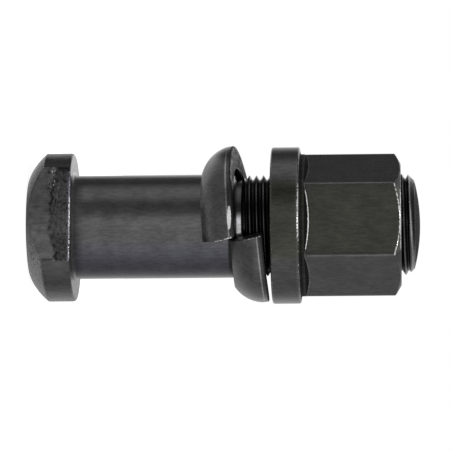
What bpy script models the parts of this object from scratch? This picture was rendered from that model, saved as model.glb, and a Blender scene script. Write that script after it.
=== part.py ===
"""A wheel bolt with its split spherical spring washer and its collar nut, standing on its head.

The origin is the middle of the head's outer face, and +Z runs along the bolt to its threaded end.
Each profile is a list of (radius, height) points that runs down the outer side, from top to bottom.
"""

from math import asin, atan2, cos, hypot, radians, sin, tan

import bmesh
import bpy
from mathutils import Matrix

# Bolt: its other diameters follow the thread's
THREAD_DIAMETER = 0.0219
THREAD_END_CHAMFER = 0.0014
END_CROWN_HEIGHT = 0.0012
LENGTH_UNDER_HEAD = 0.0751
SHANK_LENGTH = 0.0350
SHANK_STAND_OUT = 0.0003
SHANK_FILLET = 0.0008
SHANK_END_CHAMFER = 0.0004
NECK_DEPTH = 0.0010
NECK_LENGTH = 0.0016
NECK_FILLET = 0.0005

# Bolt head: reaches are measured from the shank's side
HEAD_REACH = 0.00495
HEAD_HEIGHT = 0.0097
HEAD_CROWN_WIDTH = 0.00535
HEAD_CROWN_HEIGHT = 0.0039
HEAD_CROWN_RADIUS = 0.0125
HEAD_RIM_ROUNDING = 0.0005
HEAD_FLAT_REACH = 0.00125
HEAD_FLAT_SIDE = radians(-104)

# Collar nut: just under 27 mm across flats, with a collar of 34 mm
NUT_HEIGHT = 0.0280
NUT_WALL = 0.00252
NUT_CORNER_ROUNDING = 0.0003
NUT_END_FACE_INSET = 0.0003
NUT_CHAMFER_ANGLE = radians(30)
NUT_SIDE = radians(-95.3)
NUT_BORE_CHAMFER = 0.0009
STEP_REACH = 0.00198
STEP_HEIGHT = 0.00105
STEP_CONE_ANGLE = radians(25)
STEP_FILLET = 0.0004
COLLAR_LEDGE = 0.00155
COLLAR_HEIGHT = 0.0062
COLLAR_ROUNDING = 0.0005
STUD_STAND_OUT = 0.0041

# Split spherical spring washer, a little wider than the collar
WASHER_OVERHANG = 0.0003
WASHER_THICKNESS = 0.0071
WASHER_RIM_HEIGHT = 0.00136
WASHER_RIM_ROUNDING = 0.0004
WASHER_SEAT_WIDTH = 0.0042
WASHER_SEAT_RADIUS = 0.0077
WASHER_EDGE_CHAMFER = 0.0003
WASHER_END_OFFSET = 0.0058
WASHER_SPLIT_WIDTH = 0.0005
WASHER_SPLIT_SLANT = radians(8)
WASHER_SPLIT_SIDE = radians(-78.5)
WASHER_LEAN = radians(7.6)
WASHER_LEAN_SIDE = radians(191)

# Clearances between the pieces
THREAD_CLEARANCE = 0.0003
WASHER_CLEARANCE = 0.0003
COLLAR_CLEARANCE = 0.0007

# Mesh
TURN_STEPS = 60
ARC_STEPS = 4
CROWN_STEPS = 8
MERGE_DISTANCE = 0.000001
SHARP_ANGLE = radians(25)

# Blackened steel
METALLIC = 0.85
BOLT_COLOUR, BOLT_ROUGHNESS = (0.050, 0.050, 0.052), 0.38
NUT_COLOUR, NUT_ROUGHNESS = (0.048, 0.050, 0.047), 0.42
WASHER_COLOUR, WASHER_ROUGHNESS = (0.062, 0.062, 0.064), 0.36

# Places and sizes that follow
THREAD_RADIUS = THREAD_DIAMETER / 2
SHANK_RADIUS = THREAD_RADIUS + SHANK_STAND_OUT
NECK_RADIUS = THREAD_RADIUS - NECK_DEPTH
HEAD_RADIUS = SHANK_RADIUS + HEAD_REACH
FLAT_RADIUS = THREAD_RADIUS + NUT_WALL
STEP_RADIUS = FLAT_RADIUS + STEP_REACH
COLLAR_RADIUS = STEP_RADIUS + COLLAR_LEDGE
WASHER_RADIUS = COLLAR_RADIUS + WASHER_OVERHANG
SHANK_TOP = HEAD_HEIGHT + SHANK_LENGTH
THREAD_START = SHANK_TOP + NECK_LENGTH
BOLT_TOP = HEAD_HEIGHT + LENGTH_UNDER_HEAD
NUT_FACE = BOLT_TOP - STUD_STAND_OUT - NUT_HEIGHT


def clear_scene():
    for obj in list(bpy.data.objects):
        bpy.data.objects.remove(obj)


def new_collection(name):
    collection = bpy.data.collections.new(name)
    bpy.context.scene.collection.children.link(collection)
    return collection


def steel(name, colour, roughness):
    material = bpy.data.materials.new(name)
    material.use_nodes = True
    surface = material.node_tree.nodes["Principled BSDF"]
    surface.inputs["Base Color"].default_value = (*colour, 1)
    surface.inputs["Metallic"].default_value = METALLIC
    surface.inputs["Roughness"].default_value = roughness
    return material


def arc(start, end, radius, steps=ARC_STEPS):
    """The points after start on an arc of this radius to end.

    It bulges to the left of the way from start to end, or to the right where the radius is negative.
    """
    across, up = end[0] - start[0], end[1] - start[1]
    size = max(abs(radius), hypot(across, up) / 2)
    half_angle = asin(hypot(across, up) / 2 / size)
    side = 1 if radius > 0 else -1
    to_centre = side * size * cos(half_angle) / hypot(across, up)
    centre = ((start[0] + end[0]) / 2 + up * to_centre, (start[1] + end[1]) / 2 - across * to_centre)
    first = atan2(start[1] - centre[1], start[0] - centre[0])
    angles = [first - side * 2 * half_angle * step / steps for step in range(1, steps + 1)]
    return [(centre[0] + size * cos(angle), centre[1] + size * sin(angle)) for angle in angles]


def cap_radius(half_width, height):
    """The radius of a round cap of this half width and height."""
    return (half_width**2 + height**2) / (2 * height)


def turned(name, profile, collection, parent=None):
    """A solid whose profile is turned once about Z."""
    mesh = bpy.data.meshes.new(name)
    points = [(radius, 0, height) for radius, height in profile]
    mesh.from_pydata(points, [(i, i + 1) for i in range(len(points) - 1)], [])
    obj = bpy.data.objects.new(name, mesh)
    obj.parent = parent
    collection.objects.link(obj)
    screw = obj.modifiers.new("Turn", "SCREW")
    screw.steps = screw.render_steps = TURN_STEPS
    screw.use_merge_vertices = True
    screw.merge_threshold = MERGE_DISTANCE
    return obj


def combine(obj, operation, other):
    """Cut or join obj with a helper, which stays out of the render."""
    other.hide_render = True
    other.display_type = "WIRE"
    boolean = obj.modifiers.new(other.name, "BOOLEAN")
    boolean.operation = operation
    boolean.object = other


def bolt_profile():
    end_edge = (THREAD_RADIUS - THREAD_END_CHAMFER, BOLT_TOP - END_CROWN_HEIGHT)
    neck_corner = (NECK_RADIUS, SHANK_TOP + NECK_FILLET)
    neck_foot = (NECK_RADIUS + NECK_FILLET, SHANK_TOP)
    fillet_top = (SHANK_RADIUS, HEAD_HEIGHT + SHANK_FILLET)
    fillet_foot = (SHANK_RADIUS + SHANK_FILLET, HEAD_HEIGHT)
    rim_top = (HEAD_RADIUS - HEAD_RIM_ROUNDING, HEAD_HEIGHT)
    rim_side = (HEAD_RADIUS, HEAD_HEIGHT - HEAD_RIM_ROUNDING)
    crown_top = (HEAD_RADIUS, HEAD_CROWN_HEIGHT)
    face_edge = (HEAD_RADIUS - HEAD_CROWN_WIDTH, 0)
    return [
        (0, BOLT_TOP),
        *arc((0, BOLT_TOP), end_edge, cap_radius(end_edge[0], END_CROWN_HEIGHT)),
        (THREAD_RADIUS, end_edge[1] - THREAD_END_CHAMFER),
        (THREAD_RADIUS, THREAD_START + NECK_DEPTH),
        (NECK_RADIUS, THREAD_START),
        neck_corner,
        *arc(neck_corner, neck_foot, -NECK_FILLET),
        (SHANK_RADIUS - SHANK_END_CHAMFER, SHANK_TOP),
        (SHANK_RADIUS, SHANK_TOP - SHANK_END_CHAMFER),
        fillet_top,
        *arc(fillet_top, fillet_foot, -SHANK_FILLET),
        rim_top,
        *arc(rim_top, rim_side, HEAD_RIM_ROUNDING),
        crown_top,
        *arc(crown_top, face_edge, HEAD_CROWN_RADIUS, CROWN_STEPS),
        (0, 0),
    ]


def head_flat_cutter(collection, parent):
    """A block whose side shears the flat off the head."""
    mesh = bpy.data.meshes.new("head_flat_cutter")
    bm = bmesh.new()
    bmesh.ops.create_cube(bm, size=1)
    bmesh.ops.scale(bm, vec=(HEAD_RADIUS, 4 * HEAD_RADIUS, 2 * HEAD_HEIGHT), verts=bm.verts)
    middle = SHANK_RADIUS + HEAD_FLAT_REACH + HEAD_RADIUS / 2
    bmesh.ops.translate(bm, vec=(middle, 0, HEAD_HEIGHT / 2), verts=bm.verts)
    bm.to_mesh(mesh)
    bm.free()
    obj = bpy.data.objects.new("head_flat_cutter", mesh)
    obj.parent = parent
    obj.rotation_euler.z = HEAD_FLAT_SIDE
    collection.objects.link(obj)
    return obj


def make_bolt(parts, cutters):
    bolt = turned("wheel_bolt", bolt_profile(), parts)
    combine(bolt, "DIFFERENCE", head_flat_cutter(cutters, bolt))
    bolt.data.materials.append(steel("bolt_steel", BOLT_COLOUR, BOLT_ROUGHNESS))


def hexagon_prism():
    """The nut's hexagon over its full height, with rounded corners and one flat facing +X."""
    mesh = bpy.data.meshes.new("collar_nut")
    bm = bmesh.new()
    corner_radius = FLAT_RADIUS / cos(radians(30))
    bmesh.ops.create_cone(
        bm, cap_ends=True, segments=6, radius1=corner_radius, radius2=corner_radius, depth=NUT_HEIGHT
    )
    bmesh.ops.translate(bm, vec=(0, 0, NUT_HEIGHT / 2), verts=bm.verts)
    corners = [edge for edge in bm.edges if edge.verts[0].co.z != edge.verts[1].co.z]
    bmesh.ops.bevel(
        bm, geom=corners, offset=NUT_CORNER_ROUNDING, segments=3, profile=0.5, affect="EDGES"
    )
    bm.to_mesh(mesh)
    bm.free()
    return mesh


def nut_envelope(collection, parent):
    """What the hexagon is cut back to: its end chamfer, and a foot inside the collar."""
    face_radius = FLAT_RADIUS - NUT_END_FACE_INSET
    beyond = 2 * FLAT_RADIUS
    drop = (beyond - face_radius) * tan(NUT_CHAMFER_ANGLE)
    foot = COLLAR_HEIGHT / 2
    profile = [
        (0, NUT_HEIGHT),
        (face_radius, NUT_HEIGHT),
        (beyond, NUT_HEIGHT - drop),
        (beyond, foot),
        (0, foot),
    ]
    return turned("nut_envelope", profile, collection, parent)


def nut_collar(collection, parent):
    """The round collar, and the chamfered step that carries it over into the flats."""
    overlap = NUT_CORNER_ROUNDING
    step_top = COLLAR_HEIGHT + STEP_HEIGHT
    cone_height = (STEP_REACH + overlap) * tan(STEP_CONE_ANGLE)
    cone_top = (FLAT_RADIUS - overlap, step_top + cone_height)
    fillet_top = (STEP_RADIUS, COLLAR_HEIGHT + STEP_FILLET)
    fillet_foot = (STEP_RADIUS + STEP_FILLET, COLLAR_HEIGHT)
    top_edge = (COLLAR_RADIUS - COLLAR_ROUNDING, COLLAR_HEIGHT)
    top_side = (COLLAR_RADIUS, COLLAR_HEIGHT - COLLAR_ROUNDING)
    low_side = (COLLAR_RADIUS, COLLAR_ROUNDING)
    low_edge = (COLLAR_RADIUS - COLLAR_ROUNDING, 0)
    profile = [
        (0, cone_top[1]),
        cone_top,
        (STEP_RADIUS, step_top),
        fillet_top,
        *arc(fillet_top, fillet_foot, -STEP_FILLET),
        top_edge,
        *arc(top_edge, top_side, COLLAR_ROUNDING),
        low_side,
        *arc(low_side, low_edge, COLLAR_ROUNDING),
        (0, 0),
    ]
    return turned("nut_collar", profile, collection, parent)


def nut_bore(collection, parent):
    """The bore, widened at both ends, with its cutter standing out beyond the nut."""
    bore = THREAD_RADIUS + THREAD_CLEARANCE
    mouth = bore + NUT_BORE_CHAMFER
    profile = [
        (0, NUT_HEIGHT + NUT_BORE_CHAMFER),
        (mouth, NUT_HEIGHT + NUT_BORE_CHAMFER),
        (mouth, NUT_HEIGHT),
        (bore, NUT_HEIGHT - NUT_BORE_CHAMFER),
        (bore, NUT_BORE_CHAMFER),
        (mouth, 0),
        (mouth, -NUT_BORE_CHAMFER),
        (0, -NUT_BORE_CHAMFER),
    ]
    return turned("nut_bore", profile, collection, parent)


def make_nut(parts, cutters):
    nut = bpy.data.objects.new("collar_nut", hexagon_prism())
    parts.objects.link(nut)
    nut.location.z = NUT_FACE
    nut.rotation_euler.z = NUT_SIDE
    combine(nut, "INTERSECT", nut_envelope(cutters, nut))
    combine(nut, "UNION", nut_collar(cutters, nut))
    combine(nut, "DIFFERENCE", nut_bore(cutters, nut))
    nut.data.materials.append(steel("nut_steel", NUT_COLOUR, NUT_ROUGHNESS))


def washer_section():
    """The ring's section about its middle height: flat above, with a domed seat and a narrow foot below.

    The bore clears the shank with the ring leaning, so it allows for the ring's reach to each side.
    """
    half = WASHER_THICKNESS / 2
    reach = half + WASHER_END_OFFSET / 4
    bore = (SHANK_RADIUS + WASHER_CLEARANCE + reach * sin(WASHER_LEAN)) / cos(WASHER_LEAN)
    inner = bore + WASHER_EDGE_CHAMFER
    rim_top = (WASHER_RADIUS - WASHER_RIM_ROUNDING, half)
    rim_side = (WASHER_RADIUS, half - WASHER_RIM_ROUNDING)
    seat_edge = (WASHER_RADIUS, half - WASHER_RIM_HEIGHT)
    seat_foot = (WASHER_RADIUS - WASHER_SEAT_WIDTH, -half)
    return [
        (inner, half),
        rim_top,
        *arc(rim_top, rim_side, WASHER_RIM_ROUNDING),
        seat_edge,
        *arc(seat_edge, seat_foot, WASHER_SEAT_RADIUS, CROWN_STEPS),
        (inner, -half),
        (bore, WASHER_EDGE_CHAMFER - half),
        (bore, half - WASHER_EDGE_CHAMFER),
    ]


def washer_ring():
    """The section swept once round Z, winding down anticlockwise, with slanted cut faces."""
    mesh = bpy.data.meshes.new("spherical_spring_washer")
    bm = bmesh.new()
    turn = radians(360) - WASHER_SPLIT_WIDTH / WASHER_RADIUS
    drop_per_angle = WASHER_END_OFFSET / turn
    corners = []
    for radius, height in washer_section():
        slant = height * tan(WASHER_SPLIT_SLANT) / WASHER_RADIUS
        angle = WASHER_SPLIT_SIDE - slant
        lift = WASHER_END_OFFSET / 2 + slant * drop_per_angle
        corners.append(bm.verts.new((radius * cos(angle), radius * sin(angle), height + lift)))
    bmesh.ops.spin(
        bm,
        geom=[bm.faces.new(corners)],
        cent=(0, 0, 0),
        axis=(0, 0, 1),
        dvec=(0, 0, -WASHER_END_OFFSET / TURN_STEPS),
        angle=turn,
        steps=TURN_STEPS,
    )
    bmesh.ops.recalc_face_normals(bm, faces=bm.faces)
    bm.to_mesh(mesh)
    bm.free()
    mesh.shade_smooth()
    mesh.set_sharp_from_angle(angle=SHARP_ANGLE)
    return mesh


def make_washer(parts):
    """The ring leans towards the head on one side, and its highest point just clears the collar."""
    mesh = washer_ring()
    mesh.transform(Matrix.Rotation(WASHER_LEAN, 4, (-sin(WASHER_LEAN_SIDE), cos(WASHER_LEAN_SIDE), 0)))
    washer = bpy.data.objects.new("spherical_spring_washer", mesh)
    parts.objects.link(washer)
    washer.location.z = NUT_FACE - COLLAR_CLEARANCE - max(vertex.co.z for vertex in mesh.vertices)
    mesh.materials.append(steel("washer_steel", WASHER_COLOUR, WASHER_ROUGHNESS))


def main():
    clear_scene()
    parts = new_collection("wheel_bolt_assembly")
    cutters = new_collection("cutters")
    make_bolt(parts, cutters)
    make_washer(parts)
    make_nut(parts, cutters)


main()
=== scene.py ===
from math import acos, asin, atan, atan2, cos, hypot, pi, radians, sin, tan

import bmesh
import bpy
import numpy as np
from mathutils import Matrix, Vector, noise


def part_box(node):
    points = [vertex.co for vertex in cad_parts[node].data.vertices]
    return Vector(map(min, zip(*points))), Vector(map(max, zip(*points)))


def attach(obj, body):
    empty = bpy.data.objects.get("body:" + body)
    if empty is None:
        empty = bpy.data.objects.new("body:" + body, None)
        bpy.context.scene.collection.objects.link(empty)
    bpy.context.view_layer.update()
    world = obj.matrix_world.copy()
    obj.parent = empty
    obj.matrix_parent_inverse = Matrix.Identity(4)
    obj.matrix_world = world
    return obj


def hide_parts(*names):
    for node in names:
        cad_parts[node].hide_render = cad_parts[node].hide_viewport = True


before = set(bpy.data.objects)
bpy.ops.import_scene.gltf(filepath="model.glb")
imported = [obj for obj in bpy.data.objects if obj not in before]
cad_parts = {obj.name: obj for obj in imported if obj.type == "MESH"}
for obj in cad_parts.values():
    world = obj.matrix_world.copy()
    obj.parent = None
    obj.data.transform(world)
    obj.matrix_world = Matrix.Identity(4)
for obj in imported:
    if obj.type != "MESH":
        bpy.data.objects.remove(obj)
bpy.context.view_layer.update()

# Lengths are in millimetres, and meshes are scaled by MM when they are built. Sides are in degrees from the
# front (-Y, where the washer is split) towards the top (-X), as in the photograph. Tables hold pairs of place
# and value, with straight lines between them
MM = 0.001
TURN = 2 * pi
# Points this close become one, and edges this short go
MERGE_DISTANCE = 0.002
TINY_EDGE = 0.001

# The photograph: 450 pixels wide, with the bolt lying on its side and +Z to the right
PHOTO_SIZE = 450
PIXELS_PER_MM = 4.60
FOCAL_PIXELS = 3500.0
SENSOR_WIDTH = 36.0
# Columns of the head's end face and of the point straight before the camera
HEAD_END_PIXEL = 30.0
PERPENDICULAR_PIXEL = 405.0
# Row of the bolt's axis, and how far it rises for each pixel to the right
AXIS_PIXEL = 226.1
AXIS_RISE = 0.0095

# Bolt, as in the solids
BOLT_COLUMNS = 288
THREAD_RADIUS = 10.95
SHANK_RADIUS = 11.25
NECK_RADIUS = 9.95
NECK_FILLET = 0.5
SHANK_END_CHAMFER = 0.4
SHANK_FILLET = 0.8
SHANK_TOP = 44.7
THREAD_START = 46.3
BOLT_TOP = 84.8
END_CROWN_HEIGHT = 1.2
END_CHAMFER = 1.4
HEAD_RADIUS = 16.2
HEAD_HEIGHT = 9.7
HEAD_RIM_ROUNDING = 0.5
HEAD_CROWN_HEIGHT = 3.9
HEAD_CROWN_RADIUS = 12.5
HEAD_FACE_RADIUS = 10.85
HEAD_LUMP_DEPTH = 0.12
FLAT_DISTANCE = 12.5
FLAT_SIDE = radians(-104)
# Half the flat's angle where the bearing face ends. Smaller rings keep it, so that all of them meet the flat
# at the same points
FLAT_LEAST_ANGLE = acos(FLAT_DISTANCE / (HEAD_RADIUS - HEAD_RIM_ROUNDING))

# The sheared flat: its torn band, which is BAND_RISE higher at BAND_RISE_ACROSS from the middle, and its
# rounded edge
BAND_HEIGHT = 5.45
BAND_RISE = 0.9
BAND_RISE_ACROSS = 8.0
BAND_WIDTH = 0.36
BAND_DEPTH = 0.07
PAST_BAND_DEPTH = 0.07
FLAT_EDGE_DEPTH = 0.4
FLAT_EDGE_HEIGHT = 0.7
# No ring meets the flat beyond this angle from its middle, and its relief comes in over these rings
FLAT_WIDEST_ANGLE = 1.2
FLAT_RELIEF_RADII = (12.6, 13.4)
# How light the flat is before the band and past it, and how strong the painted highlight on its edge is, by
# distance across the flat, downwards in the photograph
BEFORE_BAND_TONES = [(-9, 0.066), (-3, 0.070), (2, 0.082), (6, 0.110), (10, 0.112)]
PAST_BAND_TONES = [(-12, 0.040), (-7, 0.052), (-2, 0.050), (1, 0.068), (4, 0.066), (6, 0.048)]
LIT_EDGE_SHARES = [
    (2.5, 1.0), (4.5, 0.70), (7.2, 0.64), (7.9, 0.90), (8.6, 0.62), (9.3, 0.90), (10.0, 0.50),
]

# How light and how rough the bolt's parts are
HEAD_SIDE_TONE = 0.066
HEAD_FACE_TONE = 0.05
BEARING_FACE_TONE = 0.075
HEAD_ROUGHNESS = 0.28
FILLET_TONE = 0.10
FILLET_SHADE_TONE = 0.03
SHANK_END_SHADE_TONE = 0.015
SHANK_ROUGHNESS = 0.21
NECK_TONE = 0.04
NECK_HIGHLIGHT = 0.44
NECK_ROUGHNESS = 0.12
# How light the head's side and its crown are, and how light and how blue the shank is, by side, as painted
# light, shade and reflections
HEAD_SIDE_SHARES = [
    (-180, 1.0), (-64, 1.1), (-54, 0.74), (-46, 0.54), (-38, 0.66), (-30, 0.80), (40, 0.62), (48, 0.50),
    (55, 0.42), (66, 0.42), (72, 1.0),
]
CROWN_TONES = [
    (-180, 0.066), (-85, 0.090), (-60, 0.140), (-35, 0.170), (-18, 0.130), (5, 0.060), (30, 0.046),
    (50, 0.060), (180, 0.066),
]
SHANK_TONES = [
    (-180, 0.070), (-100, 0.055), (-75, 0.024), (-60, 0.042), (-40, 0.042), (-30, 0.053), (-20, 0.074),
    (-10, 0.094), (0, 0.098), (8, 0.079), (15, 0.066), (25, 0.067), (38, 0.060), (46, 0.050), (51, 0.034),
    (57, 0.022), (63, 0.058), (72, 0.130), (100, 0.070),
]
SHANK_BLUES = [(-100, 0.0), (-75, 0.9), (-60, 1.3), (-30, 1.3), (-20, 0.7), (-10, 0.0)]

# Thread: pairs of distance from the crest's middle, in pitches, and radius
PITCH = 1.5
CREST_HEIGHT_AT_PI = 47.89
BOLT_THREAD = [
    (0.0, 10.95), (0.05, 10.945), (0.085, 10.89), (0.25, 10.46), (0.395, 10.10), (0.44, 10.04),
    (0.5, 10.02),
]
NUT_THREAD = [
    (0.0, 11.03), (0.07, 11.02), (0.11, 10.96), (0.26, 10.57), (0.385, 10.26), (0.42, 10.21),
    (0.5, 10.2),
]
GROOVE_TONE = 0.013
CREST_TONE = 0.055
THREAD_ROUGHNESS = 0.2
NUT_THREAD_TONE = 0.03
# The painted highlight on the end's chamfer: how far below the chamfer's top it starts, how far it climbs
# for each degree downwards from RIDGE_SIDE and at most, and its width
RIDGE_BELOW = 1.15
RIDGE_SIDE = 31
RIDGE_CLIMB = 0.010
RIDGE_MOST_CLIMB = 0.75
RIDGE_WIDTH = 0.18

# Nut, as in the solids: heights are from its face
NUT_FACE = 52.7
NUT_HEIGHT = 28.0
NUT_FLAT = 13.47
NUT_FLAT_COLUMNS = 31
NUT_CORNER = 0.52
NUT_SIDE = radians(-95.3)
NUT_FACE_RADIUS = 13.17
NUT_CHAMFER_SLOPE = tan(radians(30))
NUT_MOUTH = 12.15
STEP_RADIUS = 15.45
STEP_TOP = 7.25
STEP_CONE_SLOPE = tan(radians(25))
STEP_FILLET = 0.4
COLLAR_RADIUS = 17.0
COLLAR_HEIGHT = 6.2
COLLAR_ROUNDING = 0.5
NUT_TONE = 0.050
NUT_EDGE_TONE = 0.06
NUT_ROUGHNESS = 0.25
# How worn the edges of each flat are and how strong their painted highlights are, from the front flat on
NUT_EDGE_WEAR_AND_GLINT = (1.15, 0.3, 0.6, 0.4, 0.7, 0.3)
# How light the collar's side is next to the flats, by side: painted light and shade
COLLAR_SHARES = [
    (-60, 1.0), (-50, 0.92), (-38, 0.82), (-25, 1.0), (-8, 0.90), (0, 0.82), (6, 0.90), (14, 0.95),
    (20, 0.86), (25, 0.68), (33, 0.70), (40, 0.95), (180, 1.0),
]

# Washer, as in the solids
WASHER_RINGS = 181
WASHER_RADIUS = 17.3
WASHER_THICKNESS = 7.1
WASHER_RIM_HEIGHT = 1.36
WASHER_RIM_ROUNDING = 0.4
WASHER_SEAT_WIDTH = 4.2
WASHER_SEAT_RADIUS = 7.7
WASHER_BORE = 12.32
WASHER_BORE_ROUNDING = 0.3
WASHER_END_OFFSET = 5.8
WASHER_SPLIT_WIDTH = 0.5
WASHER_SPLIT_SLANT = radians(8)
WASHER_SPLIT_SIDE = radians(-78.5)
# Both ends are a little smaller at the split, over a short way, so their edges are soft
WASHER_END_ROUNDING = 0.12
WASHER_END_INSET = 0.035
WASHER_LEAN = radians(7.6)
WASHER_LEAN_SIDE = radians(191)
# How far above the seat's edge the painted highlight line between seat and rim lies
SEAT_LINE_ABOVE = 0.27
# The painted highlight on the rim: its side and half width are in degrees, and its slant is for each half
# width
GLINT_SIDE = 6
GLINT_BELOW_BACK = 0.70
GLINT_HALF_WIDTH = 7.8
GLINT_HALF_HEIGHT = 0.28
GLINT_SLANT = 0.15

# Steel: what is painted on the meshes, and what is the same all over. Matt places are less metallic
# The wear mask holds worn, bare steel and painted highlights alike, and both take the worn colour
MASKS = ("tone", "roughness", "relief", "wear", "warm", "matt")
METALLIC = 0.9
SPECULAR_LEVEL = 0.0
WORN_AND_GLINT_COLOUR = (0.55, 0.55, 0.55, 1)
SHARP_ANGLE = radians(35)
WASHER_SHARP_ANGLE = radians(24)

# Sockets of a Mix node: its factor, and a pair and a result for numbers and for colours
FACTOR = 0
NUMBER_A, NUMBER_B, NUMBER_RESULT = 2, 3, 0
COLOUR_A, COLOUR_B, COLOUR_RESULT = 6, 7, 2

# Brightness of the surroundings round the bolt, by side
ROUND_ABOUT = [
    (-180, 0.55), (-150, 1.0), (-136, 0.95), (-120, 0.85), (-106, 0.86), (-85, 1.15), (-75, 1.35),
    (-62, 1.45), (-50, 1.35), (-35, 1.12), (-20, 0.9), (-8, 0.85), (4, 0.95), (14, 1.25), (20, 1.1),
    (27, 0.72), (36, 0.46), (46, 0.34), (54, 0.32), (60, 0.55), (67, 1.0), (76, 1.3), (90, 1.38),
    (100, 1.35), (107, 1.05), (113, 0.55), (122, 0.24), (132, 0.1), (140, 0.2), (147, 0.45), (155, 0.75),
    (180, 1.5),
]
# The same as seen towards the head's end
LEFT_AROUND = [
    (-180, 0.35), (-166, 0.5), (-155, 0.9), (-140, 0.9), (-90, 0.7), (-30, 0.75), (30, 0.7), (80, 0.7),
    (110, 0.9), (150, 1.4), (166, 1.4), (173, 0.42), (180, 0.42),
]
ABOVE = 0.8
BELOW = 0.65
# Between which heights of view one gives way to another, from -1 straight down to 1 straight up
LEFT_FADE = (-0.45, -0.32)
LEVEL_FADE = (-0.1, 0.1)
POLE_FADE = (0.72, 0.88)
# A ramp's colours end at 1, so the ramps hold the brightnesses divided by this, and the world's strength
# multiplies them by it
WORLD_STRENGTH = 2.0

# Floor: its radius is in metres, and it glows so that it looks as white as the photograph's
FLOOR_RADIUS = 0.25
FLOOR_COLOUR = (0.2, 0.2, 0.2, 1)
FLOOR_ROUGHNESS = 0.9
FLOOR_SPECULAR_LEVEL = 0.1
FLOOR_GLOW = 0.92
WHITE = (1, 1, 1, 1)


def make_camera():
    """The photograph's camera, turned so that the bolt's axis runs to the right."""
    camera = bpy.data.objects.new("camera", bpy.data.cameras.new("camera"))
    bpy.context.scene.collection.objects.link(camera)
    bpy.context.scene.camera = camera
    camera.data.sensor_width = SENSOR_WIDTH
    camera.data.lens = SENSOR_WIDTH * FOCAL_PIXELS / PHOTO_SIZE
    camera.data.clip_start = 0.01
    camera.data.clip_end = 10.0

    def height(pixel):
        return (pixel - HEAD_END_PIXEL) / PIXELS_PER_MM * MM

    distance = FOCAL_PIXELS / PIXELS_PER_MM * MM
    eye = Vector((0, -distance, height(PERPENDICULAR_PIXEL)))
    target = Vector((0, 0, height(PHOTO_SIZE / 2)))
    back = (eye - target).normalized()
    right = (Vector((0, 0, 1)) - back * back.z).normalized()
    right = Matrix.Rotation(-atan(AXIS_RISE), 3, back) @ right
    up = back.cross(right)
    # The axis passes a little below the middle of the picture
    eye += up * (AXIS_PIXEL - PHOTO_SIZE / 2) / PIXELS_PER_MM * MM
    basis = Matrix((right, up, back)).transposed()
    camera.matrix_world = Matrix.Translation(eye) @ basis.to_4x4()


class Shell:
    """Vertices, painted values and faces, gathered from grids of points."""

    def __init__(self):
        self.points = []
        self.painted = {mask: [] for mask in MASKS}
        self.faces = []
        self.count = 0

    def add(self, points, **painted):
        """Take a (rows, columns, 3) array of points, and return the grid of their numbers."""
        rows, columns = points.shape[:2]
        self.points.append(points.reshape(-1, 3))
        for mask in MASKS:
            values = np.broadcast_to(np.asarray(painted.get(mask, 0.0), float), (rows, columns))
            self.painted[mask].append(values.reshape(-1))
        numbers = np.arange(self.count, self.count + rows * columns).reshape(rows, columns)
        self.count += rows * columns
        return numbers

    def skin(self, grid, shift=0):
        """Faces between neighbouring rows and columns; the last column meets the first, shift rows on."""
        quads = [np.stack([grid[:-1, :-1], grid[:-1, 1:], grid[1:, 1:], grid[1:, :-1]], -1).reshape(-1, 4)]
        last, first = grid[:len(grid) - shift, -1], grid[shift:, 0]
        quads.append(np.stack([last[:-1], first[:-1], first[1:], last[1:]], -1))
        self.faces += np.concatenate(quads).tolist()

    def halve(self, fine, coarse):
        """Faces between a ring and one of half as many points."""
        fine = np.append(fine, fine[0])
        coarse = np.append(coarse, coarse[0])
        for number in range(len(coarse) - 1):
            self.faces.append([*fine[2 * number:2 * number + 3], coarse[number + 1], coarse[number]])

    def build(self, name, sharp_angle, material):
        """The object, with its points merged, its normals outward and its painted values as attributes."""
        mesh = bpy.data.meshes.new(name)
        points = np.concatenate(self.points) * MM
        faces = [[int(corner) for corner in face] for face in self.faces]
        mesh.from_pydata(points.tolist(), [], faces)
        for mask in MASKS:
            layer = mesh.attributes.new(mask, "FLOAT", "POINT")
            layer.data.foreach_set("value", np.concatenate(self.painted[mask]))
        draft = bmesh.new()
        draft.from_mesh(mesh)
        bmesh.ops.remove_doubles(draft, verts=draft.verts, dist=MERGE_DISTANCE * MM)
        bmesh.ops.dissolve_degenerate(draft, edges=draft.edges, dist=TINY_EDGE * MM)
        bmesh.ops.recalc_face_normals(draft, faces=draft.faces)
        draft.to_mesh(mesh)
        draft.free()
        mesh.shade_smooth()
        mesh.set_sharp_from_angle(angle=sharp_angle)
        mesh.materials.append(material)
        piece = bpy.data.objects.new(name, mesh)
        bpy.context.scene.collection.objects.link(piece)
        return piece


def arc(start, end, radius, steps):
    """The points after start on an arc to end, which bulges to the left of the way, or right if negative."""
    across, up = end[0] - start[0], end[1] - start[1]
    chord = hypot(across, up)
    size = max(abs(radius), chord / 2)
    half_angle = asin(chord / 2 / size)
    side = 1 if radius > 0 else -1
    to_centre = side * size * cos(half_angle) / chord
    centre = ((start[0] + end[0]) / 2 + up * to_centre, (start[1] + end[1]) / 2 - across * to_centre)
    first = atan2(start[1] - centre[1], start[0] - centre[0])
    angles = [first - side * 2 * half_angle * step / steps for step in range(1, steps + 1)]
    return [(centre[0] + size * cos(angle), centre[1] + size * sin(angle)) for angle in angles]


def line(start, end, steps):
    """The points after start on a straight way to end."""
    return [tuple(np.add(start, np.subtract(end, start) * step / steps)) for step in range(1, steps + 1)]


def polar(radius, angle, height):
    """Points at these radii, angles and heights."""
    radius, angle, height = np.broadcast_arrays(radius, angle, height)
    return np.stack([radius * np.cos(angle), radius * np.sin(angle), height], -1)


def wrapped(angle):
    """The same angle from -pi to pi."""
    return (angle + pi) % TURN - pi


def degrees_to_top(angles):
    """Degrees from the front (-Y) towards the top (-X), from -180 to 180."""
    return (-np.degrees(angles) - 90 + 180) % 360 - 180


def look_up(place, table):
    """The table's value at each place, with straight lines between its pairs."""
    places, values = zip(*table)
    return np.interp(place, places, values)


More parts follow.
